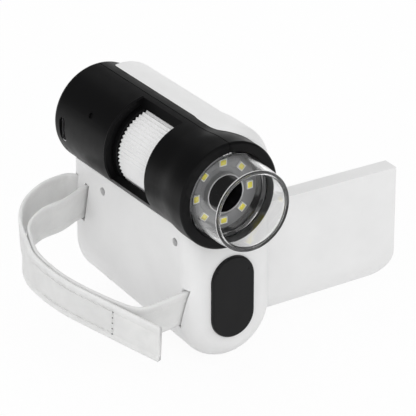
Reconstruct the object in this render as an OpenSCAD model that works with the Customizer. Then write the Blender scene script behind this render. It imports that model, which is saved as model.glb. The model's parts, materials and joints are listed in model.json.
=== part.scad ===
// Handheld digital microscope. An upright rounded body carries a round barrel along its
// top, with a focus wheel behind a window, a clear hood over the lens, a screen lid on an
// upright hinge and a soft hand strap. Sizes are in millimetres.
// X runs across the body towards the lid, Y from the lens to the rear, Z up.
// The origin is the middle of the narrow flat under the body.

/* [Body] */
// Width across the body's flat sides
body_w = 34.8; // [34:0.2:38]
// Length from the body's front face to its rear face
body_l = 73.5; // [72:0.5:80]
// Height of the barrel's axis above the flat under the body
axis_h = 62; // [60:0.5:68]
// Rise of the body's underside towards the rear, in degrees
bottom_tilt = 3.25; // [1:0.25:4]
// Depth cut off the round underside to leave a flat
base_trim = 0.7; // [0.4:0.1:1]
// Height of the round top's centre above the barrel's axis
crown_rise = 0.3; // [0:0.1:1]
// Radius of the rounding on the body's upper right side
upper_round_r = 15.2; // [14.4:0.2:16]
// Height of that rounding's centre above the barrel's axis
upper_round_rise = 2.9; // [2.4:0.1:3.2]
// Rounding round the body's front edge
front_fillet = 6; // [4.5:0.5:7]
// Rounding round the body's rear edge
rear_fillet = 3.4; // [2.8:0.2:5]
// Wall of the two body shells
shell_wall = 1.8; // [1.5:0.1:2.1]
// Radius of the swelling that wraps the barrel's nose
collar_r = 15.2; // [14.8:0.1:15.6]
// Height of the swelling's centre above the barrel's axis
collar_rise = 3.3; // [3:0.1:3.6]
// Length over which the swelling fades into the body
collar_fade = 20; // [16:1:24]

/* [Barrel] */
// Outside diameter of the barrel
barrel_d = 36; // [35:0.2:37]
// Offset of the barrel's axis from the body's middle plane
barrel_shift = 4.75; // [4.25:0.25:5.25]
// Wall of the barrel
barrel_wall = 2.6; // [2.2:0.1:2.8]
// Length of barrel behind the body
tail_reach = 3.6; // [2:0.2:6]
// Rounding of the barrel's rear edge
tail_round = 2.4; // [1.5:0.1:3]
// Thickness of the barrel's rear wall
end_wall = 3.4; // [3:0.1:5]
// Length of nose in front of the body
nose_reach = 5.6; // [5:0.2:7]
// Outside diameter of the nose
nose_d = 38; // [37.2:0.2:39]
// Rounding of the nose's front edge
lip_round = 1; // [0.6:0.1:1.4]
// Diameter of the nose's mouth
mouth_d = 31.2; // [30.6:0.2:32]
// Length over which the nose narrows to the barrel
flare_l = 12; // [10:0.5:16]

/* [Focus] */
// Start of the window, in degrees from the top towards the left
window_from = 7.9; // [5:0.5:20]
// End of the window, in degrees from the top towards the left
window_to = 120.8; // [105:0.5:124]
// Slant of the window's top edge through the wall, in degrees round the barrel
window_slant = 6.3; // [3:0.3:9]
// Distance from the body's front face to the window
window_setback = 18.4; // [17:0.2:20]
// Length of the window
window_l = 24; // [23:0.5:26]
// Outside diameter of the wheel over its ridges
wheel_d = 29.4; // [28.6:0.2:29.8]
// Length of the wheel
wheel_l = 20.3; // [18:0.1:20.6]
// Number of ridges round the wheel
ridges = 60; // [52:2:80]
// Depth of the ridges
ridge_depth = 0.7; // [0.4:0.05:0.9]
// Travel of the lens carrier from end to end
focus_travel = 8; // [5:0.5:8]

/* [Hood and light] */
// Length of clear hood in front of the nose
hood_l = 13.4; // [10:0.2:18]
// Outside diameter of the hood's rim
hood_rim_d = 28.3; // [27:0.1:30]
// Wall of the hood
hood_wall = 1.2; // [1:0.1:1.6]
// Length of hood seated in the nose
hood_seat = 4.2; // [3.6:0.2:5]
// Diameter of the circle of LEDs
led_circle_d = 20.6; // [20:0.2:22]
// Diameter of the lens opening
aperture_d = 12.6; // [11:0.2:13.4]

/* [Screen lid] */
// Length of the display module
lcd_l = 47.8; // [44:0.2:50]
// Height of the display module
lcd_h = 34.6; // [32:0.2:35]
// Room above the display inside the lid
lcd_room = 0.6; // [0.4:0.1:1]
// Thickness of the lid
lid_t = 6.5; // [6.2:0.1:7]
// Drop of the lid's top edge below the barrel's axis
lid_drop = 12.6; // [12.4:0.2:14]
// Distance of the hinge axis behind the body's front face
hinge_setback = 8.25; // [8:0.25:9]
// Rounding of the free end's lower corner
lid_corner_r = 8.5; // [5:0.5:10]
// Wall of the lid's outer cover
lid_wall = 1.3; // [1.1:0.1:1.5]
// Opening angle at rest, in degrees
lid_open = 92; // [60:1:92]
// Diameter of the hinge pin
pin_d = 2; // [1.6:0.1:2.2]

/* [Badge and keys] */
// Drop of the badge's centre below the barrel's axis
badge_drop = 40.7; // [39:0.1:42]
// Width of the bare badge
badge_w = 16.6; // [14:0.2:18]
// Height of the bare badge
badge_h = 30; // [26:0.2:32]
// Height of the badge in front of the body
badge_proud = 1.2; // [0.8:0.1:1.6]
// Diameter of a key
key_d = 6.4; // [5:0.2:7]
// Travel of a key
key_travel = 0.5; // [0.3:0.05:0.6]

/* [Strap] */
// Width of the strap
strap_w = 14.2; // [12:0.2:15]
// Thickness of the strap
strap_t = 1.4; // [1:0.1:1.6]
// Rise of the strap towards the rear, in degrees
strap_tilt = 13.3; // [12:0.1:14]
// Drop of the strap's middle line below the barrel's axis, at the body's middle
strap_drop = 34.8; // [34.4:0.2:37]

/* [Hidden] */
$fn = 96;

// Clearances, and a reach past everything
far = 100;
fit = 0.1;
snug = 0.03;
run = 0.05;
run_gap = 0.4;
lid_gap = 0.4;
eps = 0.5;

// Body
body_r = body_w / 2;
y_front = -body_l / 2;
y_rear = body_l / 2;
low_z0 = body_r - base_trim;
underside_step = 0.08;
crown_z = axis_h + crown_rise;
upper_round_z = axis_h + upper_round_rise;
cradle_wall = 1.5;
collar_front = front_fillet + 1.5;
collar_land = 16;
collar_drop = 2.5;
collar_proud = 0.4;
badge_z = axis_h - badge_drop;
badge_sunk = 1;
badge_edge = 0.6;

// Barrel
barrel_x = -barrel_shift;
barrel_r = barrel_d / 2;
bore_r = barrel_r - barrel_wall;
nose_r = nose_d / 2;
mouth_r = mouth_d / 2;
lip_y = y_front - nose_reach;
nose_land = 4.5;
flare_y = lip_y + lip_round + nose_land;
tail_y = y_rear + tail_reach;
rib_t = 2;
shoulder_r = 13.2;
board_t = 1.2;
bead_r = 0.5;
bead_gap = 0.7;
seam_w = 0.3;
seam_depth = 0.5;
// Pinhole and dimple in the barrel: degrees from the top, radius and depth
pinhole = [122, 0.5, 1.6];
dimple = [59, 1.1, 0.5];
dimple_lead = 1.3;

// Light and optics
led_count = 8;
rim_y = lip_y - hood_l;
rim_r = hood_rim_d / 2;
hood_base_r = mouth_r - fit;
hood_base_wall = hood_wall + 1;
hood_step = 0.8;
hood_notch_w = 3.2;
hood_notch_in = 1.4;
led_y = lip_y + hood_seat;
led_size = [2.8, 2.4, 0.8];
led_dome = [0.9, 0.3];
sleeve_r = 8.6;
sleeve_bore_r = 7;
sleeve_lip = 2;
sleeve_rim = 0.6;
sleeve_proud = 2;
sensor_setback = 16.5;
sensor_y = y_rear - sensor_setback;
sensor_size = 8.5;
sensor_t = 1.6;

// Focus wheel and carrier
window_y = y_front + window_setback;
wheel_lap = 1.2;
wheel_y = window_y + wheel_lap;
wheel_r = wheel_d / 2;
wheel_land = 3;
wheel_relief_r = 10.6;
carrier_y = wheel_y + wheel_l / 2;
carrier_l = 16;
carrier_r = sleeve_bore_r - run;
carrier_bore_r = 4.2;
lens_r = 5.1;
lens_t = 3.6;
lens_curve_r = 14;
lens_step = 4.4;
guide_r = 0.9;
guide_reach = 10.2;

// Screen lid
lid_x = body_r - lid_t;
recess_x = lid_x - 1.3;
hinge_x = body_r - lid_t / 2;
hinge_y = y_front + hinge_setback;
knuckle_r = lid_t / 2;
pocket_start = knuckle_r + 1.35;
lcd_play = 0.3;
lcd_end = 1.6;
corner_in_r = lid_corner_r - lid_wall;
lcd_sill = corner_in_r - sqrt(corner_in_r * corner_in_r - pow(corner_in_r - lcd_end, 2)) + fit;
lid_l = pocket_start + lcd_play + lcd_l + lcd_end + lid_wall;
lid_h = lid_wall + lcd_room + lcd_h + lcd_sill + lid_wall;
lid_top = axis_h - lid_drop;
lid_bottom = lid_top - lid_h;
cavity_top = lid_top - 2;
ledge_z = lid_top + lid_gap;
floor_in_x = recess_x - shell_wall;
pin_r = pin_d / 2;
foot_r = knuckle_r - 0.25;
foot_top = lid_bottom + 5.5;
pin_depth = 4.5;
bezel_t = 1.2;
glass_t = 1;
lcd_t = 2.4;
lcd_border = [2.9, 1.4];
view_size = [lcd_l - 2 * lcd_border[0], lcd_h - 2 * lcd_border[1]];
lcd_y = hinge_y + pocket_start + lcd_play + lcd_l / 2;
lcd_z = lid_top - lid_wall - lcd_room - lcd_h / 2;

// Case screws: along the body, and height above the base
screw_drop = 19;
screw_upper_z = axis_h - screw_drop;
screw_low_z = 6.6;
screw_places = [[-28.75, screw_upper_z, 0], [16.75, screw_upper_z, 0], [19.3, screw_low_z, 4.1]];
screw_hole_r = 1.5;
screw_head = [1.4, 1];
screw_shank_r = 0.9;
screw_l = 4.6;
screw_seat = 2.5;
screw_slot = [1, 2, 0.5];
screw_boss_r = 2.6;
screw_post_r = 2.2;
screw_post_x = -body_r + 4.5;
screw_post_end = 2;

// Keys, board and battery
board_gap = 0.3;
key_r = key_d / 2;
key_proud = 0.7;
key_rim = 0.8;
key_rim_t = 1;
key_gap = 0.3;
switch_h = 2.9;
switch_base = [6, 6, 2.1];
switch_stem_r = 1.6;
board_face_x = floor_in_x - key_rim_t - run - key_travel - fit - switch_h;
key_pitch = 10.5;
key_places = [[1, 0], [-1, 0], [0, 1], [0, -1], [0, 0]];
main_board_y = [-24, 29];
main_board_z = [screw_low_z + screw_post_r + board_gap, screw_upper_z - screw_post_r - board_gap];
key_middle = [4, (main_board_z[0] + main_board_z[1]) / 2];
post_r = 1.7;
post_inset = 3;
battery_in = 4.2;
battery_drop = 6.2;
battery_at = [-body_r + battery_in, -23, low_z0 - battery_drop];
battery_size = [6, 48, screw_upper_z - screw_boss_r - board_gap - battery_at[2]];
rail_y = 15;
rail_size = [1.4, 21];

// Charging socket
socket_w = 8.9;
socket_t = 3.2;
socket_l = 7.3;
socket_wall = 0.3;
socket_drop = 1.1;
charge_board_y = tail_y - end_wall - board_t;
socket_y = charge_board_y - socket_t / 2;
socket_mouth_x = barrel_x - barrel_r + 1;
tongue = [0.7, 6.4];
tongue_in = 0.8;

// Strap: points seen from above, from the front anchor to the rear slot, then round the
// corner post and back over itself to the free end
strap_z = axis_h - strap_drop;
slot_w = 2.4;
slot_play = 1.2;
anchor_y = y_front + 4.55;
front_leg = [[-body_r + 4, anchor_y], [-body_r, anchor_y], [-24, -33], [-34.2, -33.2],
  [-40.4, -27]];
lay = [[-48.6, -11], [-51.8, 3], [-50.4, 12]];
rear_leg = [[-46.6, 20], [-38, 24.8], [-28, 25.6], [-20.4, y_rear - 8.7]];
post_at = [-body_r - 0.55, y_rear - 4.55];
post_turn = 3.6;
back_leg = [[-18.4, y_rear - 0.2], [-22, y_rear + 0.8], [-31, y_rear - 0.4], [-41.6, 32], [-48.6, 23.6]];
free_end = [[-43, -26.5], [-34.6, -44.4]];
hem = [1.8, 3.2];
hem_inset = 1;
anchor_slot_out = 4;
anchor_slot_in = 6;
turn_from = -85;
turn_step = 15;
turn_to = 65;
turn_split = 5;
lay_shift = -0.9 * strap_t;
line_steps = 7;
corner_block_z = strap_z - 3;
corner_block_wall = 2.6;

// Height of the round underside's centre line
function low_z(y) = low_z0 + y * tan(bottom_tilt);

// Placing: things turned about the barrel's axis, and things drawn in the side view
module about_barrel() {
  translate([barrel_x, 0, axis_h]) rotate([-90, 0, 0]) children();
}

module from_side(x, depth) {
  translate([x, 0, 0]) rotate([90, 0, 90]) linear_extrude(depth) children();
}

module along_x(x, y, z) {
  translate([x, y, z]) rotate([0, 90, 0]) children();
}

module left_of_seam() {
  translate([-far, -far, -far]) cube([far, 2 * far, far + axis_h]);
}

module open_lid() {
  translate([hinge_x, hinge_y, 0]) rotate([0, 0, -lid_open])
    translate([-hinge_x, -hinge_y, 0]) children();
}

module in_strap_plane(height) {
  translate([0, 0, strap_z]) rotate([strap_tilt, 0, 0])
    linear_extrude(height, center = true) children();
}

// Outline of a disc with a rounded edge, as radius and depth
module round_edge(r, f) {
  square([r - f, f]);
  intersection() {
    translate([r - f, 0]) circle(f);
    translate([r - f, 0]) square(f);
  }
}

// Flat-sided rounded plate standing in XZ, with its edge rounded on the front
module stadium_cap(r, f, low, high) {
  translate([0, 0, low]) rotate([90, 0, 0]) rotate([0, 0, 180])
    rotate_extrude(angle = 180) round_edge(r, f);
  translate([0, 0, high]) rotate([90, 0, 0]) rotate_extrude(angle = 180) round_edge(r, f);
  translate([0, 0, low]) linear_extrude(high - low) mirror([0, 1]) {
    round_edge(r, f);
    mirror([1, 0]) round_edge(r, f);
  }
}

// Radius that swells from small to big towards the front, in two tangent arcs
module swell(big, small, y, l) {
  rise = big - small;
  arc_r = (l * l + rise * rise) / (4 * rise);
  intersection() {
    translate([big - arc_r, y]) circle(arc_r);
    translate([0, y]) square([big, l / 2]);
  }
  difference() {
    translate([0, y + l / 2]) square([small + rise / 2, l / 2]);
    translate([small + arc_r, y + l]) circle(arc_r);
  }
}

// Trough that follows the sloping round underside
module underside(r) {
  translate([0, 0, low_z0]) rotate([bottom_tilt, 0, 0]) rotate([90, 0, 0])
    linear_extrude(2 * body_l, center = true) {
      intersection() {
        circle(r);
        translate([-r, -r]) square([2 * r, r]);
      }
      translate([-r, 0]) square([2 * r, axis_h]);
    }
}

// Body outline, moved in by an inset
module body_form(inset) {
  r = body_r - inset;
  a = y_front + front_fillet;
  b = y_rear - rear_fillet;
  difference() {
    union() {
      intersection() {
        underside(r - underside_step);
        translate([-body_r, a, -body_r]) cube([body_w, b - a, axis_h]);
      }
      translate([0, b, 0]) rotate([90, 0, 0]) linear_extrude(b - a) {
        translate([0, crown_z]) intersection() {
          circle(r);
          translate([-r, 0]) square([2 * r, r]);
        }
        translate([-r, low_z(b)]) square([2 * r, crown_z - low_z(b)]);
      }
      translate([0, a, 0]) stadium_cap(r, front_fillet - inset, low_z(a), crown_z);
      translate([0, b, 0]) mirror([0, 1, 0]) stadium_cap(r, rear_fillet - inset, low_z(b), crown_z);
    }
    rotate([bottom_tilt, 0, 0]) translate([-body_w, -body_l, inset - body_r])
      cube([2 * body_w, 2 * body_l, body_r]);
  }
}

// Tighter rounding along the body's upper right side
module upper_round() {
  a = y_front + front_fillet;
  b = y_rear - rear_fillet;
  translate([body_r - upper_round_r, 0, 0]) {
    translate([0, b, 0]) rotate([90, 0, 0]) linear_extrude(b - a) {
      translate([0, upper_round_z]) circle(upper_round_r);
      translate([-upper_round_r, lid_top]) square([2 * upper_round_r, upper_round_z - lid_top]);
    }
    translate([0, a, 0]) stadium_cap(upper_round_r, front_fillet, lid_top, upper_round_z);
    translate([0, b, 0]) mirror([0, 1, 0]) stadium_cap(upper_round_r, rear_fillet, lid_top, upper_round_z);
  }
}

// Swelling that wraps the barrel's nose, standing a little proud of the upper rounding
module collar() {
  translate([body_r + collar_proud - collar_r, 0, axis_h + collar_rise]) rotate([-90, 0, 0])
    rotate_extrude() {
      translate([0, y_front + collar_front]) mirror([0, 1]) round_edge(collar_r, collar_front);
      translate([0, y_front + collar_front]) square([collar_r, collar_land - collar_front]);
      swell(collar_r, collar_r - collar_drop, y_front + collar_land, collar_fade);
    }
}

// Both of them, above the lid
module upper_side() {
  intersection() {
    union() {
      upper_round();
      collar();
    }
    translate([-body_r, y_front - eps, ledge_z]) cube([2 * body_w, body_l + 2 * eps, body_w]);
  }
}

// Barrel outline, grown by a clearance where it sits in the body
module barrel_profile(grow) {
  translate([0, lip_y + lip_round]) mirror([0, 1]) round_edge(nose_r + grow, lip_round + grow);
  translate([0, lip_y + lip_round]) square([nose_r + grow, nose_land]);
  swell(nose_r + grow, barrel_r + grow, flare_y, flare_l);
  translate([0, flare_y + flare_l]) square([barrel_r + grow, tail_y - tail_round - flare_y - flare_l]);
  translate([0, tail_y - tail_round]) round_edge(barrel_r + grow, tail_round + grow);
}

module bore_step(r, from, to) {
  translate([0, from]) square([r, to - from]);
}

module barrel_bore_profile() {
  behind_led = led_y + board_t + rib_t;
  wheel_end = wheel_y + wheel_l + run_gap;
  behind_sensor = sensor_y + board_t;
  bore_step(mouth_r, lip_y - eps, led_y + board_t);
  bore_step(shoulder_r, led_y, behind_led);
  bore_step(bore_r, behind_led, wheel_y - run_gap - rib_t);
  bore_step(sleeve_r + snug, led_y, sensor_y);
  bore_step(bore_r, wheel_y - run_gap, wheel_end);
  bore_step(bore_r, wheel_end + rib_t, behind_sensor);
  bore_step(shoulder_r, sensor_y, behind_sensor + rib_t);
  bore_step(bore_r, behind_sensor + rib_t, tail_y - end_wall);
}

module barrel_shell() {
  about_barrel() rotate_extrude() difference() {
    barrel_profile(0);
    barrel_bore_profile();
  }
}

// Sector about the barrel's axis, in degrees from the top towards the left
module barrel_sector(from, to) {
  rotate([0, 0, -90 - to]) rotate_extrude(angle = to - from) children();
}

// Point on a circle about the barrel's axis, in degrees from the top towards the left
function barrel_point(r, a) = -r * [sin(a), cos(a)];

// Window through the wall. Its top edge slants, so the wall reaches further down inside
module window_cut() {
  outer = barrel_point(barrel_r, window_from);
  inner = barrel_point(bore_r, window_from + window_slant);
  about_barrel() difference() {
    barrel_sector(window_from, window_to) difference() {
      bore_step(nose_r, window_y, window_y + window_l);
      bore_step(bore_r - fit, window_y - eps, window_y + window_l + eps);
    }
    translate([0, 0, window_y - eps]) linear_extrude(window_l + 2 * eps) polygon([
      outer + (outer - inner) / 10, inner + (inner - outer) / 4, barrel_point(bore_r - 2, 0)]);
  }
}

// Narrow groove over the top, where the two barrel halves meet
module seam_groove() {
  translate([barrel_x + seam_w / 2, 0, axis_h]) rotate([0, -90, 0]) linear_extrude(seam_w) difference() {
    barrel_profile(fit);
    barrel_profile(-seam_depth);
  }
}

module barrel_left_half() {
  color("#26272a") difference() {
    union() {
      barrel_shell();
      about_barrel() barrel_sector(window_from, window_to)
        translate([barrel_r - fit, window_y + window_l + bead_gap]) circle(bead_r);
    }
    translate([barrel_x, -far, 0]) cube([far, 2 * far, 2 * axis_h]);
    window_cut();
    seam_groove();
    charge_slot(fit + snug);
    drill_barrel(pinhole, charge_board_y);
    drill_barrel(dimple, sensor_y - dimple_lead);
  }
}

// Small round hole from the barrel's outside, straight towards its axis
module drill_barrel(hole, y) {
  about_barrel() rotate([0, 0, -90 - hole[0]]) translate([barrel_r - hole[2], 0, y])
    rotate([0, 90, 0]) cylinder(r = hole[1], h = hole[2] + eps);
}

module barrel_right_half() {
  color("#26272a") difference() {
    barrel_shell();
    translate([barrel_x - far, -far, 0]) cube([far, 2 * far, 2 * axis_h]);
    seam_groove();
  }
}

// Lid outline seen from the side, grown by a clearance
module lid_outline(grow) {
  y0 = hinge_y - knuckle_r - grow;
  y1 = hinge_y + lid_l + grow;
  z0 = lid_bottom - grow;
  z1 = lid_top + grow;
  c = lid_corner_r + grow;
  translate([y0, z0]) square([y1 - y0 - c, z1 - z0]);
  translate([y0, z0 + c]) square([y1 - y0, z1 - z0 - c]);
  translate([y1 - c, z0 + c]) circle(c);
}

module body_cavity() {
  difference() {
    intersection() {
      body_form(shell_wall);
      translate([-body_r, y_front, -body_r]) cube([body_w, body_l, cavity_top + body_r]);
    }
    about_barrel() translate([0, 0, y_front - eps])
      cylinder(r = barrel_r + fit + cradle_wall, h = body_l + 2 * eps);
    from_side(floor_in_x, body_w) lid_outline(lid_gap + shell_wall);
  }
}

module screw_post(i, r, x) {
  p = screw_places[i];
  along_x(screw_post_x + p[2], p[0], p[1]) cylinder(r = r, h = x - screw_post_x - p[2]);
}

module screw_bore(i, r, x, l) {
  p = screw_places[i];
  along_x(x + p[2], p[0], p[1]) cylinder(r = r, h = l);
}

module strap_channel(half) {
  translate(plan(post_at)) difference() {
    circle(post_turn + half);
    circle(post_turn - half);
  }
}

module badge_seat() {
  translate([0, y_front + badge_sunk, badge_z]) rotate([90, 0, 0])
    linear_extrude(2 * badge_sunk) badge_outline(fit);
}

module badge_outline(grow) {
  r = badge_w / 2;
  straight = badge_h - badge_w;
  for (s = [-1, 1]) translate([0, s * straight / 2]) circle(r + grow);
  translate([-r - grow, -straight / 2]) square([badge_w + 2 * grow, straight]);
}

// Screw bosses, battery rails and the block round the strap's corner slot, inside the left shell
module left_fittings() {
  wall_x = -body_r + shell_wall / 2;
  intersection() {
    for (i = [0:2]) screw_bore(i, screw_boss_r, wall_x, screw_post_x - wall_x - fit);
    body_form(eps);
  }
  for (y = [-rail_y, rail_y]) translate([wall_x, y, low_z0])
    cube([battery_at[0] - wall_x - fit, rail_size[0], rail_size[1]]);
  translate([0, 0, corner_block_z]) linear_extrude(axis_h - corner_block_z) corner_block();
}

// Block in the rear corner, seen from above, that reaches halfway into the shell's wall
module corner_block() {
  r = rear_fillet - shell_wall / 2;
  corner = [-body_r + rear_fillet, y_rear - rear_fillet];
  reach = post_turn + corner_block_wall;
  across = post_at[0] + reach - corner[0];
  start = post_at[1] - reach;
  translate(corner) circle(r);
  translate([corner[0] - r, start]) square([r + across, corner[1] - start]);
  translate([corner[0], start]) square([across, corner[1] + r - start]);
}

module body_left_shell() {
  color("white") difference() {
    union() {
      difference() {
        intersection() {
          left_of_seam();
          body_form(0);
        }
        body_cavity();
      }
      left_fittings();
    }
    about_barrel() rotate_extrude() barrel_profile(fit);
    for (i = [0:2]) {
      screw_bore(i, screw_hole_r, -body_w, screw_seat + body_r);
      screw_bore(i, screw_shank_r + fit, -body_r, body_w);
      screw_post(i, screw_post_r + fit, 1);
    }
    badge_seat();
    in_strap_plane(strap_w + slot_play) {
      strap_channel(slot_w / 2);
      translate(plan([-body_r - anchor_slot_out, anchor_y]) - [0, slot_w / 2])
        square([anchor_slot_out + anchor_slot_in, slot_w]);
    }
  }
}

module body_right_shell() {
  color("white") difference() {
    union() {
      difference() {
        union() {
          body_form(0);
          upper_side();
        }
        left_of_seam();
        difference() {
          body_cavity();
          for (s = [0, 1], t = [0, 1])
            along_x(board_face_x, main_board_y[s] + (1 - 2 * s) * post_inset,
              main_board_z[t] + (1 - 2 * t) * post_inset) cylinder(r = post_r, h = body_r);
        }
        from_side(recess_x, body_w) lid_outline(lid_gap);
        for (i = [0:4]) key_bore(i);
      }
      for (i = [0, 1]) screw_post(i, screw_post_r, screw_post_end);
      intersection() {
        screw_post(2, screw_post_r, body_r);
        body_form(eps);
      }
      intersection() {
        translate([hinge_x, hinge_y, lid_bottom - lid_gap - eps])
          cylinder(r = foot_r, h = foot_top - lid_bottom + lid_gap + eps);
        body_form(0);
      }
    }
    about_barrel() rotate_extrude() barrel_profile(fit);
    for (i = [0:2]) screw_bore(i, screw_shank_r + snug, -body_r, screw_l + screw_seat + fit);
    badge_seat();
    hinge_bore(pin_r + snug, lid_bottom + fit, ledge_z + pin_depth + fit);
  }
}

module hinge_bore(r, from, to) {
  translate([hinge_x, hinge_y, from]) cylinder(r = r, h = to - from);
}

module badge_plate() {
  rim_t = badge_sunk + badge_proud - badge_edge;
  straight = badge_h - badge_w;
  color("#1b1b1d") translate([0, y_front + badge_sunk - snug, badge_z]) {
    rotate([90, 0, 0]) linear_extrude(rim_t) badge_outline(0);
    translate([0, -rim_t, 0]) stadium_cap(badge_w / 2, badge_edge, -straight / 2, straight / 2);
  }
}

module clear_hood() {
  color("#dfe6ea", 0.4) difference() {
    about_barrel() rotate_extrude() polygon([
      [hood_base_r - hood_base_wall, led_y - snug], [hood_base_r, led_y - snug], [hood_base_r, lip_y],
      [rim_r, rim_y], [rim_r - hood_wall, rim_y], [hood_base_r - hood_wall, lip_y],
      [hood_base_r - hood_base_wall, lip_y + hood_step]]);
    translate([barrel_x - hood_notch_w / 2, lip_y + hood_notch_in,
      axis_h + hood_base_r - hood_base_wall - eps])
        cube([hood_notch_w, hood_seat, hood_base_wall + 2 * eps]);
  }
}

module led_board() {
  color("#3c4043") about_barrel() translate([0, 0, led_y]) difference() {
    cylinder(r = mouth_r - fit, h = board_t);
    translate([0, 0, -eps]) cylinder(r = sleeve_r + fit, h = board_t + 2 * eps);
  }
}

module led(i) {
  color("#f3e27a") about_barrel() rotate([0, 0, -90 - i * 360 / led_count])
    translate([led_circle_d / 2, 0, led_y - led_size[2]]) {
      translate([-led_size[1] / 2, -led_size[0] / 2, 0]) cube([led_size[1], led_size[0], led_size[2]]);
      translate([0, 0, -led_dome[1]]) cylinder(r = led_dome[0], h = led_dome[1]);
    }
}

module lens_sleeve() {
  slot_l = focus_travel + 2 * (guide_r + run_gap);
  color("#2f3133") difference() {
    about_barrel() rotate_extrude() difference() {
      union() {
        bore_step(sleeve_r, led_y, sensor_y);
        bore_step(aperture_d / 2 + sleeve_rim, led_y - sleeve_proud, sensor_y);
      }
      bore_step(aperture_d / 2, led_y - 2 * sleeve_proud, sensor_y + eps);
      bore_step(sleeve_bore_r, led_y + sleeve_lip, sensor_y + eps);
    }
    translate([barrel_x - sleeve_r - eps, carrier_y - slot_l / 2, axis_h - guide_r - run])
      cube([2 * (sleeve_r + eps), slot_l, 2 * (guide_r + run)]);
  }
}

module lens_carrier() {
  color("#4a4c4f") difference() {
    union() {
      about_barrel() translate([0, 0, carrier_y - carrier_l / 2]) cylinder(r = carrier_r, h = carrier_l);
      along_x(barrel_x - guide_reach, carrier_y, axis_h) cylinder(r = guide_r, h = 2 * guide_reach);
    }
    about_barrel() rotate_extrude() {
      bore_step(carrier_bore_r, carrier_y - carrier_l, carrier_y + carrier_l);
      bore_step(lens_r + snug, carrier_y - carrier_l, carrier_y - carrier_l / 2 + lens_step);
    }
  }
}

module objective_lens() {
  offset_y = lens_curve_r - lens_t / 2;
  color("#bcd3e6", 0.5) about_barrel()
    translate([0, 0, carrier_y - carrier_l / 2 + lens_step - lens_t / 2]) intersection() {
      translate([0, 0, offset_y]) sphere(lens_curve_r);
      translate([0, 0, -offset_y]) sphere(lens_curve_r);
      translate([0, 0, -lens_t]) cylinder(r = lens_r, h = 2 * lens_t);
    }
}

module focus_wheel() {
  color("white") about_barrel() translate([0, 0, wheel_y]) difference() {
    linear_extrude(wheel_l) polygon([for (i = [0:2 * ridges - 1])
      let (r = wheel_r - (i % 2) * ridge_depth, a = i * 180 / ridges) [r * cos(a), r * sin(a)]]);
    translate([0, 0, -eps]) cylinder(r = sleeve_r + run, h = wheel_l + 2 * eps);
    translate([0, 0, wheel_land]) cylinder(r = wheel_relief_r, h = wheel_l - 2 * wheel_land);
  }
}

module sensor_board() {
  color("#1f6b43") about_barrel() translate([0, 0, sensor_y])
    cylinder(r = bore_r - fit, h = board_t);
}

module image_sensor() {
  color("#22262b") translate([barrel_x - sensor_size / 2, sensor_y - sensor_t, axis_h - sensor_size / 2])
    cube([sensor_size, sensor_t, sensor_size]);
}

module charge_board() {
  color("#1f6b43") about_barrel() translate([0, 0, charge_board_y])
    cylinder(r = bore_r - fit, h = board_t);
}

// Pill-shaped outline of the charging socket, upright
module socket_outline(grow) {
  r = socket_t / 2 + grow;
  straight = socket_w - socket_t;
  for (s = [-1, 1]) translate([0, s * straight / 2]) circle(r);
  translate([-r, -straight / 2]) square([2 * r, straight]);
}

module charge_slot(grow) {
  translate([barrel_x - nose_r, socket_y, axis_h - socket_drop]) rotate([90, 0, 90])
    linear_extrude(nose_r - bore_r + 4) socket_outline(grow);
}

module charge_socket() {
  color("#c9ccd0") translate([socket_mouth_x, socket_y, axis_h - socket_drop]) rotate([90, 0, 90]) {
    difference() {
      linear_extrude(socket_l) socket_outline(0);
      translate([0, 0, -eps]) linear_extrude(socket_l) socket_outline(-socket_wall);
    }
    translate([-tongue[0] / 2, -tongue[1] / 2, tongue_in])
      cube([tongue[0], tongue[1], socket_l - tongue_in - fit]);
  }
}

module main_board() {
  color("#1f6b43") translate([board_face_x - board_t, main_board_y[0], main_board_z[0]])
    cube([board_t, main_board_y[1] - main_board_y[0], main_board_z[1] - main_board_z[0]]);
}

module battery() {
  color("#aab4bd") translate(battery_at) cube(battery_size);
}

// Keys and switches share their places on the recess floor
function key_at(i) = key_middle + key_pitch * key_places[i];

module key_bore(i) {
  along_x(floor_in_x - eps, key_at(i)[0], key_at(i)[1])
    cylinder(r = key_r + key_gap, h = shell_wall + 2 * eps);
}

module key(i) {
  color("#e4e6e8") along_x(floor_in_x - run - key_rim_t, key_at(i)[0], key_at(i)[1]) {
    cylinder(r = key_r + key_rim, h = key_rim_t);
    cylinder(r = key_r, h = key_rim_t + run + shell_wall + key_proud);
  }
}

module switch(i) {
  color("#303236") translate([board_face_x, key_at(i)[0], key_at(i)[1]]) {
    translate([0, -switch_base[0] / 2, -switch_base[1] / 2])
      cube([switch_base[2], switch_base[0], switch_base[1]]);
    rotate([0, 90, 0]) cylinder(r = switch_stem_r, h = switch_h);
  }
}

module screw(i) {
  p = screw_places[i];
  seat_x = -body_r + screw_seat;
  color("#8f9398") difference() {
    union() {
      screw_bore(i, screw_head[0], seat_x - screw_head[1], screw_head[1]);
      screw_bore(i, screw_shank_r, seat_x - eps, screw_l + eps);
    }
    translate([seat_x - screw_head[1] + p[2], p[0], p[1]])
      for (a = [45, 135]) rotate([a, 0, 0]) cube(screw_slot, center = true);
  }
}

module hinge_pin() {
  color("#b5b8bc") hinge_bore(pin_r, lid_bottom + 2 * fit, ledge_z + pin_depth);
}

// Whole lid, closed against the body's side
module lid_form() {
  intersection() {
    from_side(lid_x, lid_t) lid_outline(0);
    underside(body_r);
    union() {
      translate([0, hinge_y, 0]) cube([body_w, body_l, axis_h]);
      hinge_bore(knuckle_r, 0, axis_h);
    }
  }
}

module lid_pocket(inset, depth) {
  intersection() {
    from_side(lid_x - eps, depth + eps) lid_outline(-inset);
    translate([0, hinge_y + pocket_start + inset - lid_wall, 0]) cube([body_w, body_l, axis_h]);
  }
}

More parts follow.
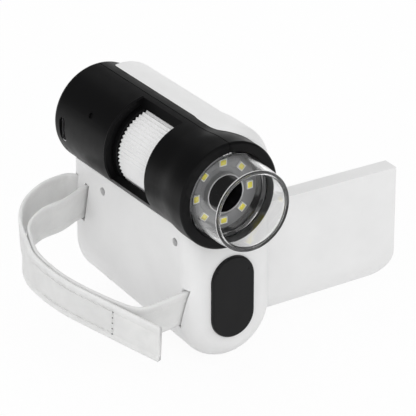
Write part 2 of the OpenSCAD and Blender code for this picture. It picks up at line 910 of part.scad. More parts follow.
module view_opening(grow) {
  from_side(lid_x - eps, bezel_t + 2 * eps)
    translate([lcd_y - view_size[0] / 2 - grow, lcd_z - view_size[1] / 2 - grow])
      square([view_size[0] + 2 * grow, view_size[1] + 2 * grow]);
}

module lid_cover() {
  color("white") open_lid() difference() {
    lid_form();
    intersection() {
      lid_pocket(lid_wall, lid_t - lid_wall);
      underside(body_r - lid_wall);
    }
    hinge_bore(foot_r + run_gap, 0, foot_top + run_gap);
    hinge_bore(pin_r + run, 0, axis_h);
  }
}

module lid_bezel() {
  color("#f2f3f4") open_lid() difference() {
    intersection() {
      lid_pocket(lid_wall + fit, bezel_t);
      underside(body_r - lid_wall - fit);
      translate([lid_x, -body_l, 0]) cube([lid_t, 2 * body_l, axis_h]);
    }
    view_opening(fit);
  }
}

module screen_window() {
  color("#15181c", 0.7) open_lid() intersection() {
    view_opening(0);
    translate([lid_x + bezel_t - glass_t, -body_l, 0]) cube([glass_t, 2 * body_l, axis_h]);
  }
}

module lcd_module() {
  color("#3a3f45") open_lid()
    translate([lid_x + bezel_t, lcd_y - lcd_l / 2, lcd_z - lcd_h / 2]) cube([lcd_t, lcd_l, lcd_h]);
}

// Strap drawn in its own sloping plane: points from above are stretched along the slope
function plan(p) = [p[0], p[1] / cos(strap_tilt)];

// Smooth line through points, with steps between each two
function smooth_line(p, steps) = concat([for (i = [0:len(p) - 2], k = [0:steps - 1])
  let (t = k / steps, a = p[max(i - 1, 0)], b = p[i], c = p[i + 1], d = p[min(i + 2, len(p) - 1)])
  (2 * b + (c - a) * t + (2 * a - 5 * b + 4 * c - d) * t * t + (3 * b - a - 3 * c + d) * t * t * t) / 2],
  [p[len(p) - 1]]);

function side_of(p, i) = let (d = p[min(i + 1, len(p) - 1)] - p[max(i - 1, 0)]) [-d[1], d[0]] / norm(d);

module band(p) {
  last = len(p) - 1;
  polygon(concat([for (i = [0:last]) p[i] + side_of(p, i) * strap_t / 2],
    [for (i = [last:-1:0]) p[i] - side_of(p, i) * strap_t / 2]));
}

module strap() {
  turn = [for (a = [turn_from:turn_step:turn_to]) plan(post_at) + post_turn * [cos(a), sin(a)]];
  under = concat([for (p = concat(front_leg, lay, rear_leg)) plan(p)],
    [for (i = [0:turn_split + 1]) turn[i]]);
  lay_back = [for (i = [len(lay) - 1:-1:0]) plan(lay[i]) + [lay_shift, 0]];
  over = concat([for (i = [turn_split:len(turn) - 1]) turn[i]], [for (p = back_leg) plan(p)], lay_back,
    [for (p = free_end) plan(p)]);
  color("#f4f4f2") union() {
    in_strap_plane(strap_w) {
      band(smooth_line(under, line_steps));
      band(smooth_line(over, line_steps));
    }
    in_strap_plane(strap_w - hem_inset)
      translate(plan(front_leg[0]) - [hem[0], strap_t] / 2) square(hem);
  }
}

body_left_shell();
body_right_shell();
barrel_left_half();
barrel_right_half();
badge_plate();
clear_hood();
led_board();
for (i = [0:led_count - 1]) led(i);
lens_sleeve();
lens_carrier();
objective_lens();
focus_wheel();
sensor_board();
image_sensor();
charge_board();
charge_socket();
main_board();
battery();
switch(0);  // switch_power
switch(1);  // switch_mode
switch(2);  // switch_up
switch(3);  // switch_down
switch(4);  // switch_ok
key(0);  // key_power
key(1);  // key_mode
key(2);  // key_up
key(3);  // key_down
key(4);  // key_ok
screw(0);  // screw_front
screw(1);  // screw_rear
screw(2);  // screw_low
hinge_pin();
lid_cover();
lid_bezel();
screen_window();
lcd_module();
strap();
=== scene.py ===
import json
import math

import bmesh
import bpy
from mathutils import Matrix, Vector


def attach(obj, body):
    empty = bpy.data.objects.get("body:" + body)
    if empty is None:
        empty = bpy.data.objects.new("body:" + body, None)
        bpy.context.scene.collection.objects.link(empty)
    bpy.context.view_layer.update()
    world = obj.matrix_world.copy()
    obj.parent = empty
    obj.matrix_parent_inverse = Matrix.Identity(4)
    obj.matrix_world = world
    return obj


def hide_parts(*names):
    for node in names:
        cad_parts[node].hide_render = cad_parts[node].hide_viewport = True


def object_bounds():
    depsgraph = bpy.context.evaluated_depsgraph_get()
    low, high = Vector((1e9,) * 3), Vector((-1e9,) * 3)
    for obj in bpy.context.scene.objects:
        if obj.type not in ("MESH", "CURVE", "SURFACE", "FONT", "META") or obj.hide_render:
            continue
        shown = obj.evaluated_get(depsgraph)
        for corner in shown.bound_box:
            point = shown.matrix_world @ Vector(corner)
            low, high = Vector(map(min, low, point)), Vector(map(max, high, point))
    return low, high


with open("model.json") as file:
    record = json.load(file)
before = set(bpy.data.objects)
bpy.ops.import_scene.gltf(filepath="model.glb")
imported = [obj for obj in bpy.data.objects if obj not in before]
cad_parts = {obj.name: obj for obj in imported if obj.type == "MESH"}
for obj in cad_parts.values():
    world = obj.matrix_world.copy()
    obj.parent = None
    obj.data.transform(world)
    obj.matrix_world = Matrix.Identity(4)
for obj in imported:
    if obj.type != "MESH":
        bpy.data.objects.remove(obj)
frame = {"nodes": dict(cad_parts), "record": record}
cad_lo, cad_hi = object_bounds()
nodes = frame["nodes"]
MM = 0.001

# Places taken from the model, in millimetres: the barrel's axis, the hood's rim, the LED board's
# front, the strap's height and slope, and the body's rear
AXIS_X, AXIS_Z = -4.75, 62.0
RIM_Y, LED_Y = -55.75, -38.15
STRAP_Z, STRAP_TILT = 27.2, math.radians(13.3)
Y_REAR = 36.75

# Camera at the photograph's angle: its place in millimetres, two of its directions, and its focal
# length in pixels of the photograph
CAMERA_AT = Vector((-493.9, -771.1, 493.4))
CAMERA_RIGHT = Vector((0.8348, -0.5505, 0.0))
CAMERA_AHEAD = Vector((0.4931, 0.7477, -0.4446))
FOCAL_PX, PHOTO_PX, SENSOR_MM = 3000.0, 416.0, 36.0


def make_camera():
    cam = bpy.data.objects.new("camera", bpy.data.cameras.new("camera"))
    bpy.context.collection.objects.link(cam)
    ahead = CAMERA_AHEAD.normalized()
    right = (CAMERA_RIGHT - ahead * CAMERA_RIGHT.dot(ahead)).normalized()
    turn = Matrix((right, right.cross(ahead), -ahead)).transposed().to_4x4()
    cam.matrix_world = Matrix.Translation(CAMERA_AT * MM) @ turn
    cam.data.sensor_width = SENSOR_MM
    cam.data.lens = FOCAL_PX / PHOTO_PX * SENSOR_MM
    cam.data.clip_start, cam.data.clip_end = 0.05, 20.0
    bpy.context.scene.camera = cam
    bpy.context.scene.view_settings.view_transform = "Standard"


make_camera()


# Materials
def calc(nt, operation, a, b):
    """Result of a math node; a and b are sockets or numbers."""
    n = nt.nodes.new("ShaderNodeMath")
    n.operation = operation
    for value, socket in ((a, n.inputs[0]), (b, n.inputs[1])):
        if isinstance(value, float):
            socket.default_value = value
        else:
            nt.links.new(value, socket)
    return n.outputs[0]


class Tree:
    """A material's nodes, with short ways to add and join them."""

    # Part of a noise's range that is used
    NOISE_LOW, NOISE_HIGH = 0.3, 0.7

    def __init__(self, name):
        self.mat = bpy.data.materials.new(name)
        self.mat.use_nodes = True
        self.nt = self.mat.node_tree
        self.bsdf = self.nt.nodes["Principled BSDF"]

    def add(self, kind, **settings):
        n = self.nt.nodes.new(kind)
        for key, value in settings.items():
            setattr(n, key, value)
        return n

    def join(self, a, b):
        self.nt.links.new(a, b)

    def coords(self):
        n = self.nt.nodes.get("place") or self.add("ShaderNodeTexCoord", name="place")
        return n.outputs["Object"]

    def texture(self, kind, inputs, **settings):
        n = self.add(kind, **settings)
        for key, value in inputs.items():
            n.inputs[key].default_value = value
        self.join(self.coords(), n.inputs["Vector"])
        return n.outputs

    def noise(self, scale, detail=3.0):
        inputs = {"Scale": scale, "Detail": detail, "Roughness": 0.55}
        return self.texture("ShaderNodeTexNoise", inputs)["Fac"]

    def voronoi(self, scale):
        return self.texture("ShaderNodeTexVoronoi", {"Scale": scale})["Distance"]

    def span(self, fac, low, high):
        n = self.add("ShaderNodeMapRange")
        n.inputs["From Min"].default_value = self.NOISE_LOW
        n.inputs["From Max"].default_value = self.NOISE_HIGH
        n.inputs["To Min"].default_value = low
        n.inputs["To Max"].default_value = high
        self.join(fac, n.inputs["Value"])
        return n.outputs["Result"]

    def mix(self, fac, a, b):
        n = self.add("ShaderNodeMix", data_type="RGBA")
        n.inputs["A"].default_value = (*a, 1)
        n.inputs["B"].default_value = (*b, 1)
        self.join(fac, n.inputs["Factor"])
        return n.outputs["Result"]

    def vector(self, operation, a, b=None):
        n = self.add("ShaderNodeVectorMath", operation=operation)
        self.join(a, n.inputs[0])
        if b is not None:
            n.inputs[1].default_value = b
        return n.outputs

    def bump(self, height, strength, distance, base=None):
        n = self.add("ShaderNodeBump")
        n.inputs["Strength"].default_value = strength
        n.inputs["Distance"].default_value = distance
        self.join(height, n.inputs["Height"])
        if base is not None:
            self.join(base, n.inputs["Normal"])
        return n.outputs["Normal"]

    def set(self, **sockets):
        for key, value in sockets.items():
            self.bsdf.inputs[key.replace("_", " ")].default_value = value

    def finish(self, colour=None, rough=None, normal=None):
        """Join what makes the surface's colour, roughness and relief, and give the material."""
        for source, name in ((colour, "Base Color"), (rough, "Roughness"), (normal, "Normal")):
            if source is not None:
                self.join(source, self.bsdf.inputs[name])
        return self.mat


# Scales of a moulding's faint clouding and uneven gloss, and depth of its grain in metres
CLOUD_SCALE, GLOSS_SCALE, GRAIN_DEPTH = 55, 240, 0.00005


def shade(c, k):
    return tuple(min(1.0, x * k) for x in c)


def plastic(name, colour, rough, grain=2600, depth=0.12, tint=0.03, span=0.05, **sockets):
    """Moulded plastic: faint clouding of the colour, uneven gloss and fine spark-eroded grain."""
    t = Tree(name)
    t.set(**sockets)
    cloud = t.span(t.noise(CLOUD_SCALE, 4), 0, 1)
    return t.finish(t.mix(cloud, shade(colour, 1 - tint), shade(colour, 1 + tint)),
                    t.span(t.noise(GLOSS_SCALE, 4), rough - span, rough + span),
                    t.bump(t.noise(grain, 2), depth, GRAIN_DEPTH))


def clear(name, colour, rough, ior, **sockets):
    """Clear moulding or glass with a faint unevenness in its polish."""
    t = Tree(name)
    t.set(Base_Color=(*colour, 1), IOR=ior, Transmission_Weight=1.0, **sockets)
    return t.finish(rough=t.span(t.noise(180, 3), rough * 0.5, rough * 1.5),
                    normal=t.bump(t.noise(90, 2), 0.02, 0.0001))


def metal(name, colour, rough):
    t = Tree(name)
    t.set(Metallic=1.0)
    return t.finish(t.mix(t.noise(900, 4), shade(colour, 0.85), shade(colour, 1.08)),
                    t.span(t.noise(3000, 3), rough - 0.06, rough + 0.08),
                    t.bump(t.noise(5000, 2), 0.1, 0.00003))


def board(name, mask, trace):
    """Circuit board: solder mask with slightly raised copper under it."""
    t = Tree(name)
    inputs = {"Scale": 260, "Mortar Size": 0.03, "Color1": (0, 0, 0, 1),
              "Color2": (0.25, 0.25, 0.25, 1), "Mortar": (1, 1, 1, 1)}
    copper = t.texture("ShaderNodeTexBrick", inputs, offset=0.5)["Color"]
    return t.finish(t.mix(copper, mask, trace),
                    t.span(t.noise(700, 3), 0.28, 0.42),
                    t.bump(copper, 0.2, 0.00004))


def leather(name, colour):
    """Coated strap: pebbled grain, soft creases with painted shade in their hollows, and a dry
    sheen.
    """
    t = Tree(name)
    t.set(Sheen_Weight=0.08, Sheen_Roughness=0.5,
          Subsurface_Weight=0.7, Subsurface_Radius=(1, 1, 1), Subsurface_Scale=0.003)
    pebble = t.voronoi(1500)
    crease = t.noise(160, 5)
    soft = t.bump(crease, 0.25, 0.0003)
    # Colour follows the crease noise that also makes the relief: darker in the hollows as painted
    # shade, lighter on the ridges
    return t.finish(t.mix(t.span(crease, 0, 1), shade(colour, 0.95), shade(colour, 1.03)),
                    t.span(t.noise(600, 3), 0.5, 0.66),
                    t.bump(pebble, 0.3, 0.00008, soft))


def two_tone(name, inner, outer, radius, back, rough):
    """Black sleeve whose front is grey like the board outside a radius about the barrel's axis."""
    t = Tree(name)
    t.set(Specular_IOR_Level=0.2)
    place = t.vector("SUBTRACT", t.coords(), (AXIS_X * MM, 0, AXIS_Z * MM))["Vector"]
    across = t.vector("MULTIPLY", place, (1, 0, 1))["Vector"]
    beyond = calc(t.nt, "GREATER_THAN", t.vector("LENGTH", across)["Value"], radius * MM)
    split = t.add("ShaderNodeSeparateXYZ")
    t.join(t.coords(), split.inputs["Vector"])
    ahead = calc(t.nt, "LESS_THAN", split.outputs["Y"], back * MM)
    return t.finish(t.mix(calc(t.nt, "MULTIPLY", beyond, ahead), inner, outer),
                    t.span(t.noise(GLOSS_SCALE, 4), rough - 0.05, rough + 0.05),
                    t.bump(t.noise(1800, 2), 0.15, GRAIN_DEPTH))


WHITE = (0.80, 0.80, 0.80)
BLACK = (0.0045, 0.0045, 0.0048)
DARK = (0.008, 0.008, 0.009)
BOARD_GREY = (0.28, 0.283, 0.288)
# Radius of the lens opening's edge, and how far behind the board's front the sleeve is grey
APERTURE_R, GREY_BACK = 6.6, 0.5

mats = {
    "white_plastic": plastic("white_plastic", WHITE, 0.40),
    "black_plastic": plastic("black_plastic", BLACK, 0.38, grain=3200, depth=0.15, tint=0.12,
                             Specular_IOR_Level=0.12),
    "badge_black": plastic("badge_black", (0.012, 0.012, 0.0125), 0.30, depth=0.03, tint=0.1,
                           span=0.03, Specular_IOR_Level=0.12),
    "clear_plastic": clear("clear_plastic", (1, 1, 1), 0.02, 1.49),
    "lens_glass": clear("lens_glass", (0.93, 0.97, 1), 0.01, 1.6, Thin_Film_Thickness=420.0),
    "screen_glass": plastic("screen_glass", (0.012, 0.013, 0.016), 0.06, depth=0.01, span=0.02),
    "board": board("board", (0.012, 0.10, 0.045), (0.03, 0.19, 0.09)),
    "led_board": plastic("led_board", BOARD_GREY, 0.40, grain=1800, depth=0.15, tint=0.1,
                         Specular_IOR_Level=0.35),
    "led": plastic("led_case", (0.88, 0.88, 0.84), 0.35),
    "dark_part": plastic("dark_part", DARK, 0.5, depth=0.3, tint=0.1, Specular_IOR_Level=0.2),
    "display": metal("display_back", (0.55, 0.56, 0.58), 0.4),
    "steel": metal("steel", (0.56, 0.56, 0.57), 0.32),
    "battery_foil": metal("battery_foil", (0.62, 0.64, 0.66), 0.45),
    "key_grey": plastic("key_grey", (0.55, 0.56, 0.57), 0.45),
    "strap_leather": leather("strap_leather", (0.73, 0.73, 0.725)),
}
phosphor = plastic("phosphor", (0.92, 0.82, 0.13), 0.5, grain=4000, depth=0.3, tint=0.1)
thread = plastic("thread", (0.70, 0.70, 0.69), 0.7, grain=6000, depth=0.4)
# Dark grey of the needle holes: painted shade of the holes
hole_painted_shade = plastic("stitch_hole_painted_shade", (0.16, 0.16, 0.16), 0.8, grain=5000, depth=0.2)
wheel_white = plastic("wheel_white", (0.82, 0.82, 0.82), 0.38, grain=900, depth=0.02, tint=0.015)
screw_steel = metal("screw_steel", (0.30, 0.30, 0.31), 0.4)
# Light steel of the lens opening's bead: partly real metal, partly a painted highlight of the
# opening's edge
bead_steel_painted_highlight = metal("bead_steel_painted_highlight", (0.62, 0.62, 0.63), 0.3)
sleeve = two_tone("sleeve", DARK, BOARD_GREY, APERTURE_R, LED_Y + GREY_BACK, 0.45)

for sub in frame["record"]["subparts"]:
    o = nodes[sub["node"]]
    o.data.materials.clear()
    o.data.materials.append(mats[sub["material_slot"]])
nodes["focus_wheel"].data.materials[0] = wheel_white
nodes["lens_sleeve"].data.materials[0] = sleeve
for name in ("screw_front", "screw_rear", "screw_low"):
    nodes[name].data.materials[0] = screw_steel


# Small roundings on moulded edges
def soften(name, width, angle=40):
    m = nodes[name].modifiers.new("edge", "BEVEL")
    m.width = width * MM
    m.segments = 2
    m.limit_method = "ANGLE"
    m.angle_limit = math.radians(angle)


soften("clear_hood", 0.15)
soften("lid_cover", 0.35)


# Making pieces
def piece(name, verts, faces, mat, slot, body="housing", smooth=True):
    me = bpy.data.meshes.new(name)
    me.from_pydata([Vector(v) * MM for v in verts], [], faces)
    me.validate()
    o = bpy.data.objects.new(name, me)
    bpy.context.collection.objects.link(o)
    bm = bmesh.new()
    bm.from_mesh(me)
    bmesh.ops.remove_doubles(bm, verts=bm.verts, dist=1e-7)
    bmesh.ops.recalc_face_normals(bm, faces=bm.faces)
    bm.to_mesh(me)
    bm.free()
    if smooth:
        me.shade_smooth()
    me.materials.append(mat)
    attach(o, body)
    return o


def lathe(profile, steps):
    """Rings about the barrel's axis from (radius, Y) points; the profile is a closed loop."""
    verts, faces = [], []
    n = len(profile)
    for k in range(steps):
        a = 2 * math.pi * k / steps
        verts += [(AXIS_X + r * math.sin(a), y, AXIS_Z + r * math.cos(a)) for r, y in profile]
    for k in range(steps):
        m = (k + 1) % steps
        for i in range(n):
            j = (i + 1) % n
            faces.append((k * n + i, k * n + j, m * n + j, m * n + i))
    return verts, faces


def oval(r, y, half_r, half_y, count):
    """Closed profile for a bead, round a middle at radius r and depth y."""
    turn = [2 * math.pi * k / count for k in range(count)]
    return [(r + half_r * math.cos(a), y + half_y * math.sin(a)) for a in turn]


def rounded_ring(hx, hy, r, z, steps=5):
    """Rectangle with rounded corners, from its half sizes, corner radius and height."""
    out = []
    for sx, sy, a0 in ((1, 1, 0), (-1, 1, 90), (-1, -1, 180), (1, -1, 270)):
        for k in range(steps + 1):
            a = math.radians(a0 + 90 * k / steps)
            out.append((sx * (hx - r) + r * math.cos(a), sy * (hy - r) + r * math.sin(a), z))
    return out


def stack(rings):
    """Closed skin over a pile of rings with the same number of points."""
    n = len(rings[0])
    verts = [p for ring in rings for p in ring]
    faces = [tuple(reversed(range(n)))]
    for i in range(len(rings) - 1):
        for j in range(n):
            k = (j + 1) % n
            faces.append((i * n + j, i * n + k, (i + 1) * n + k, (i + 1) * n + j))
    faces.append(tuple((len(rings) - 1) * n + j for j in range(n)))
    return verts, faces


# Strap: one soft band from the front anchor round to the rear slot and back over itself. Its line
# is seen from above, in millimetres
FRONT_LEG = [(-13.4, -32.2), (-17.4, -32.2), (-24, -33), (-34.2, -33.2), (-40.4, -27)]
LAY = [(-48.6, -11), (-51.4, 3), (-49.7, 11.6)]
REAR_LEG = [(-45.8, 19.2), (-37.6, 24.2), (-28, 25.8), (-20.4, Y_REAR - 8.2)]
POST, TURN_R = (-17.95, Y_REAR - 4.55), 3.2
TURN_FROM, TURN_TO, TURN_STEP = -85, 65, 15
BACK_LEG = [(-18.4, Y_REAR - 0.2), (-22, Y_REAR + 0.8), (-31, Y_REAR - 0.6), (-40.8, 30.9),
            (-47.6, 22.6)]
FREE_END = [(-43, -26.5), (-33.7, -45)]
LAY_APART = 1.65
STRAP_HALF, STRAP_FACE = 7.1, 0.72
# How far each layer hangs inward at the far turn, and the X and Y where that starts, each with the
# distance over which it grows
INNER_LEAN = (0.8, (-41, 5), (-2, 10))
OUTER_LEAN = (1.2, (-34, 8), (10, 9))
# Slant of the free end's cut, its corners' radius, and the length over which the cut's form fades
SLANT, END_ROUND, END_FADE = 0.1, 1.0, 8
LINE_STEPS, LINE_GAP = 12, 1.0
UP = Vector((0, -math.sin(STRAP_TILT), math.cos(STRAP_TILT)))
OUT = Vector((1, 0, 0))


def flat(p):
    """Point seen from above, laid into the strap's sloping plane."""
    return Vector((p[0], p[1] / math.cos(STRAP_TILT)))


def in_plane(q):
    return Vector((q.x, q.y * math.cos(STRAP_TILT), q.y * math.sin(STRAP_TILT)))


def strap_line():
    turn = []
    for angle in range(TURN_FROM, TURN_TO + 1, TURN_STEP):
        a = math.radians(angle)
        turn.append(flat(POST) + TURN_R * Vector((math.cos(a), math.sin(a))))
    over = [flat(p) - Vector((LAY_APART, 0)) for p in reversed(LAY)]
    there = [flat(p) for p in FRONT_LEG + LAY + REAR_LEG]
    back = [flat(p) for p in BACK_LEG]
    return there + turn + back + over + [flat(p) for p in FREE_END]


def smooth_line(p, steps):
    """Smooth curve through the points."""
    out = []
    for i in range(len(p) - 1):
        a, b, c, d = p[max(i - 1, 0)], p[i], p[i + 1], p[min(i + 2, len(p) - 1)]
        for k in range(steps):
            t = k / steps
            out.append((2 * b + (c - a) * t + (2 * a - 5 * b + 4 * c - d) * t ** 2
                        + (3 * b - a - 3 * c + d) * t ** 3) / 2)
    return out + [p[-1]]


def even_line(p, gap):
    """The same line with points an even gap apart, and its length."""
    run = [0.0]
    for a, b in zip(p, p[1:]):
        run.append(run[-1] + (b - a).length)
    count = max(2, round(run[-1] / gap))
    out, i = [], 0
    for k in range(count + 1):
        s = run[-1] * k / count
        while i < len(run) - 2 and run[i + 1] < s:
            i += 1
        f = (s - run[i]) / max(run[i + 1] - run[i], 1e-9)
        out.append(p[i].lerp(p[i + 1], min(max(f, 0), 1)))
    return out, run[-1]


LINE, LENGTH = even_line(smooth_line(strap_line(), LINE_STEPS), LINE_GAP)


def ease(x):
    x = min(max(x, 0.0), 1.0)
    return x * x * (3 - 2 * x)


def strap_lean(run, at):
    """How far the band hangs inward there."""
    size, (x, wide), (y, deep) = INNER_LEAN if run < LENGTH / 2 else OUTER_LEAN
    return size * ease((x - at.x) / wide) * ease((at.y - y) / deep)


def strap_spot(run, w, t):
    """Place on the strap: along its line, across its width and out from its middle."""
    x = min(max(run / LENGTH, 0), 1) * (len(LINE) - 1)
    i = min(int(x), len(LINE) - 2)
    q = LINE[i].lerp(LINE[i + 1], x - i)
    ahead = (LINE[min(i + 2, len(LINE) - 1)] - LINE[max(i - 1, 0)]).normalized()
    at = in_plane(q + ahead * max(run - LENGTH, 0)) + Vector((0, 0, STRAP_Z))
    lean = strap_lean(run, at)
    across = UP - OUT * lean / STRAP_HALF
    return at + OUT * lean + across * w + in_plane(Vector((-ahead.y, ahead.x))) * t


# Half of the band's cross-section: distance from the middle line and half thickness, with rounded
# edges and a shallow sewn groove near each of them
SECTION = [(7.1, 0.0), (7.04, 0.3), (6.85, 0.52), (6.5, 0.66), (6.0, 0.71), (4.85, 0.72),
           (4.62, 0.66), (4.4, 0.58), (4.18, 0.66), (3.95, 0.72), (2.0, 0.74), (0.0, 0.74)]


def free_end_run(run, w):
    """The free end is cut a little aslant, with rounded corners."""
    corner = max(abs(w) - (STRAP_HALF - END_ROUND), 0)
    back = END_ROUND - math.sqrt(max(END_ROUND ** 2 - corner ** 2, 0))
    return run - (SLANT * w + back) * ease(1 - (LENGTH - run) / END_FADE)


def make_strap():
    half = SECTION + [(-w, t) for w, t in reversed(SECTION[:-1])]
    loop = half + [(w, -t) for w, t in reversed(half[1:-1])]
    steps = round(LENGTH)
    rings = []
    for i in range(steps + 1):
        run = LENGTH * i / steps
        rings.append([strap_spot(free_end_run(run, w), w, t) for w, t in loop])
    verts, faces = stack(rings)
    o = piece("strap_band", verts, faces, mats["strap_leather"], "strap_leather")
    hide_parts("strap")


# Thread: its radius, how much of that is left at a stitch's ends, how deep its ends lie under the
# strap's face, how far its middle rises, and its rings and sides
THREAD_R, THREAD_END, THREAD_SUNK, THREAD_RISE = 0.24, 0.35, 0.1, 0.14
THREAD_RINGS, THREAD_SIDES = 7, 8
# Needle hole: a dark grey cap over each hole, painted shade of the hole; radius and height over the
# strap's face of its rings, and its sides
HOLE_RINGS, HOLE_SIDES = ((0.28, -0.2), (0.3, 0.02), (0.17, 0.03)), 10


def stitch(name, run, w, dr, dw):
    """One sunk thread on the strap's outer face, dr along it and dw across it."""
    length = math.hypot(dr, dw)
    rings = []
    for k in range(THREAD_RINGS):
        f = k / (THREAD_RINGS - 1)
        swell = math.sin(math.pi * f)
        r = THREAD_R * (THREAD_END + (1 - THREAD_END) * swell)
        lift = STRAP_FACE - THREAD_SUNK + THREAD_RISE * swell
        ring = []
        for j in range(THREAD_SIDES):
            a = 2 * math.pi * j / THREAD_SIDES
            off = r * math.cos(a)
            ring.append(strap_spot(run + dr * (f - 0.5) - off * dw / length,
                                   w + dw * (f - 0.5) + off * dr / length,
                                   -lift - r * math.sin(a)))
        rings.append(ring)
    verts, faces = stack(rings)
    piece(name, verts, faces, thread, "strap_leather")


# Dark grey cap on the strap's face, painted with the shade of a needle hole
def needle_hole(name, run, w):
    rings = []
    for r, lift in HOLE_RINGS:
        turn = [2 * math.pi * j / HOLE_SIDES for j in range(HOLE_SIDES)]
        rings.append([strap_spot(run + r * math.cos(a), w + r * math.sin(a), -(STRAP_FACE + lift))
                      for a in turn])
    verts, faces = stack(rings)
    piece(name, verts, faces, hole_painted_shade, "strap_leather")


# Sewn box that holds the free end down: two long rows and a row across. It lies from BOX_FROM to
# BOX_TO before the free end, and its rows ROW_W from the strap's middle
BOX_FROM, BOX_TO, ROW_W = 46.8, 18.3, 4.4
STITCH_STEP, STITCH_L = 2.4, 1.7
ACROSS_COUNT, ACROSS_L = 4, 0.8 * STITCH_L


def sew_box():
    count = round((BOX_FROM - BOX_TO) / STITCH_STEP)
    for side, row in ((-1, "low"), (1, "high")):
        for k in range(count):
            run = LENGTH - BOX_FROM + (k + 0.5) * (BOX_FROM - BOX_TO) / count
            stitch(f"stitch_{row}_{k + 1}", run, side * ROW_W, STITCH_L, 0)
    for k in range(ACROSS_COUNT):
        w = ROW_W * (2 * (k + 0.5) / ACROSS_COUNT - 1)
        stitch(f"stitch_across_{k + 1}", LENGTH - BOX_TO - SLANT * w, w, 0, ACROSS_L)
    for k in range(ACROSS_COUNT + 1):
        w = ROW_W * (2 * k / ACROSS_COUNT - 1)
        needle_hole(f"needle_hole_{k + 1}", LENGTH - BOX_TO - SLANT * w, w)


make_strap()
sew_box()

# LEDs: a moulded case with a cup of phosphor, in place of each plain one. Each ring has its half
# sizes along and across the radius, its corners' radius and its height
LED_COUNT, LED_R = 8, 10.3
CASE_RINGS = ((1.2, 1.4, 0.15, 0.0), (1.2, 1.4, 0.15, 0.7), (1.12, 1.32, 0.15, 0.8),
              (0.95, 1.15, 0.45, 0.8), (0.8, 1.0, 0.4, 0.56))
FILL_RINGS = ((0.85, 1.05, 0.42, 0.58), (0.85, 1.05, 0.42, 0.74), (0.5, 0.7, 0.35, 0.84))


def on_led(i, verts):
    """Radial, tangential and forward places on LED i, brought into the model."""
    a = math.radians(360 / LED_COUNT * i)
    out = []
    for r, s, f in verts:
        rr = LED_R + r
        out.append((AXIS_X - rr * math.sin(a) - s * math.cos(a), LED_Y - f,
                    AXIS_Z + rr * math.cos(a) - s * math.sin(a)))
    return out


def make_led(i):
    verts, faces = stack([rounded_ring(*ring) for ring in CASE_RINGS])
    o = piece(f"led_case_{i + 1}", on_led(i, verts), faces, mats["led"], "led", smooth=False)
    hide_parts(f"led_{i + 1}")
    verts, faces = stack([rounded_ring(*ring) for ring in FILL_RINGS])
    piece(f"led_phosphor_{i + 1}", on_led(i, verts), faces, phosphor, "led")


for i in range(LED_COUNT):
    make_led(i)

# Steel bead round the lens opening, light all round: painted highlight of the opening's edge
APERTURE_FORE, APERTURE_BEAD = 2.02, 0.26
profile = oval(APERTURE_R, LED_Y - APERTURE_FORE, APERTURE_BEAD, APERTURE_BEAD, 10)
piece("aperture_bead", *lathe(profile, 128), bead_steel_painted_highlight, "steel")

# Clear bead that thickens the hood's rim inwards, half sunk in its wall
HOOD_BORE, RIM_BEAD_IN, RIM_BEAD_L, RIM_BEAD_BACK = 12.95, 0.38, 1.3, 0.03
profile = oval(HOOD_BORE, RIM_Y + RIM_BEAD_BACK + RIM_BEAD_L / 2, RIM_BEAD_IN, RIM_BEAD_L / 2, 20)
piece("hood_bead", *lathe(profile, 240), mats["clear_plastic"], "clear_plastic")

# Floor, light and surroundings: light from all round, what gloss shows of the room, and how much of
# the floor's own white shows over the object's shadow
WORLD_LIGHT, ROOM_LIGHT = 0.80, 0.15
FLOOR_WHITE, FLOOR_SIZE, FLOOR_DROP = 0.93, 8, 0.0002
LAMP_AIM = (0, 0, 0.04)


def view_of_surroundings(nt):
    """Sockets that tell a straight view, also through the clear hood, and a mirrored one."""
    path = nt.nodes.new("ShaderNodeLightPath").outputs
    mirrored = calc(nt, "GREATER_THAN", path["Glossy Depth"], 0.5)
    through = calc(nt, "GREATER_THAN", path["Is Transmission Ray"], mirrored)
    straight = calc(nt, "MAXIMUM", path["Is Camera Ray"], through)
    seen_after = calc(nt, "MULTIPLY", path["Is Transmission Ray"], mirrored)
    return straight, calc(nt, "MAXIMUM", path["Is Glossy Ray"], seen_after)


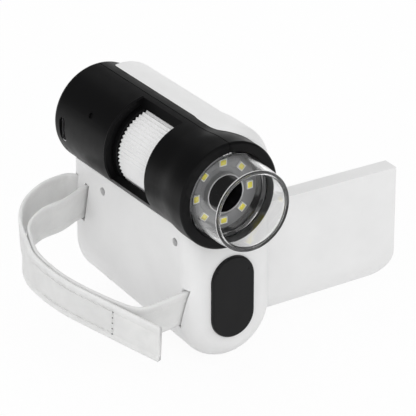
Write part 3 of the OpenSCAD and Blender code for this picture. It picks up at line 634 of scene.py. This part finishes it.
def make_stage():
    bpy.ops.mesh.primitive_plane_add(size=FLOOR_SIZE, location=(0, 0, cad_lo.z - FLOOR_DROP))
    floor = bpy.context.object
    floor.name = "floor"
    t = Tree("floor")
    t.set(Base_Color=(0.92, 0.92, 0.92, 1), Roughness=0.9, Specular_IOR_Level=0.1)
    straight, mirror = view_of_surroundings(t.nt)
    glow = t.add("ShaderNodeEmission")
    glow.inputs["Color"].default_value = (1, 1, 1, 1)
    glow.inputs["Strength"].default_value = 1.0
    mix = t.add("ShaderNodeMixShader")
    seen = calc(t.nt, "MAXIMUM", straight, mirror)
    t.join(calc(t.nt, "MULTIPLY", seen, FLOOR_WHITE), mix.inputs["Fac"])
    t.join(t.bsdf.outputs[0], mix.inputs[1])
    t.join(glow.outputs[0], mix.inputs[2])
    t.join(mix.outputs[0], t.nt.nodes["Material Output"].inputs["Surface"])
    floor.data.materials.append(t.mat)


def make_world():
    """White surroundings; gloss shows the pale floor under a dark room."""
    world = bpy.data.worlds.new("studio")
    bpy.context.scene.world = world
    world.use_nodes = True
    nt = world.node_tree
    straight, mirror = view_of_surroundings(nt)
    level = nt.nodes.new("ShaderNodeMix")
    level.inputs["A"].default_value = WORLD_LIGHT
    level.inputs["B"].default_value = ROOM_LIGHT
    nt.links.new(mirror, level.inputs["Factor"])
    back = nt.nodes["Background"]
    back.inputs["Color"].default_value = (1, 1, 1, 1)
    strength = calc(nt, "MAXIMUM", level.outputs["Result"], straight)
    nt.links.new(strength, back.inputs["Strength"])


def lamp(name, at, size, power):
    data = bpy.data.lights.new(name, "AREA")
    data.shape = "RECTANGLE"
    data.size, data.size_y = size
    data.energy = power
    o = bpy.data.objects.new(name, data)
    bpy.context.collection.objects.link(o)
    o.location = at
    o.rotation_euler = (Vector(LAMP_AIM) - Vector(at)).to_track_quat("-Z", "Y").to_euler()


make_stage()
make_world()
lamp("key", (-0.15, -0.9, 0.55), (0.9, 0.7), 2.2)
lamp("side", (-0.9, -0.1, 0.45), (0.6, 0.6), 1.5)
lamp("top", (0.3, 0.55, 0.85), (0.9, 0.7), 0.7)
lamp("back", (0.62, 0.72, 0.2), (0.5, 0.3), 0.5)
